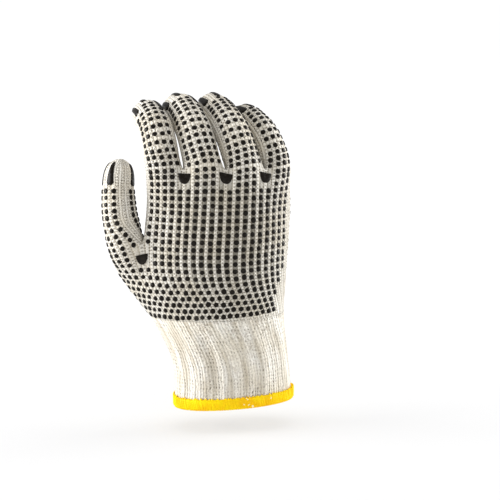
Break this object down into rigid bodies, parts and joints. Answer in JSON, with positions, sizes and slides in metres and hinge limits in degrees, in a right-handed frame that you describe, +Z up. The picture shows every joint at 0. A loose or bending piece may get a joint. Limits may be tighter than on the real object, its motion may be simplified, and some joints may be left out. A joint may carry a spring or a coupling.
{
  "type": "work glove",
  "caption": "Right-hand string-knit cotton work glove with raised grip dots on both faces, a ribbed cuff and an overlocked hem, shaped as worn with curled fingers.",
  "frame": {"origin": "centre of the cuff's mouth, where a wrist enters", "axes": "+Z up from the mouth to the fingers, +X from the thumb side to the little-finger side, -Y out of the back of the hand"},
  "size_m": [0.1116, 0.0704, 0.1827],
  "materials": {
    "cotton_knit": "matte",
    "cotton_rib": "matte",
    "overlock_thread": "matte",
    "pvc_dots": "satin"
  },
  "bodies": {
    "root": {"knit_palm": "cotton_knit", "finger_index": "cotton_knit", "finger_middle": "cotton_knit", "finger_ring": "cotton_knit", "finger_little": "cotton_knit", "thumb": "cotton_knit", "rib_cuff": "cotton_rib", "hem_overlock": "overlock_thread", "web_mark_back_thumb": "pvc_dots", "web_mark_back_index_middle": "pvc_dots", "web_mark_back_middle_ring": "pvc_dots", "web_mark_back_ring_little": "pvc_dots", "web_mark_palm_thumb": "pvc_dots", "web_mark_palm_index_middle": "pvc_dots", "web_mark_palm_middle_ring": "pvc_dots", "web_mark_palm_ring_little": "pvc_dots"}
  },
  "joints": []
}
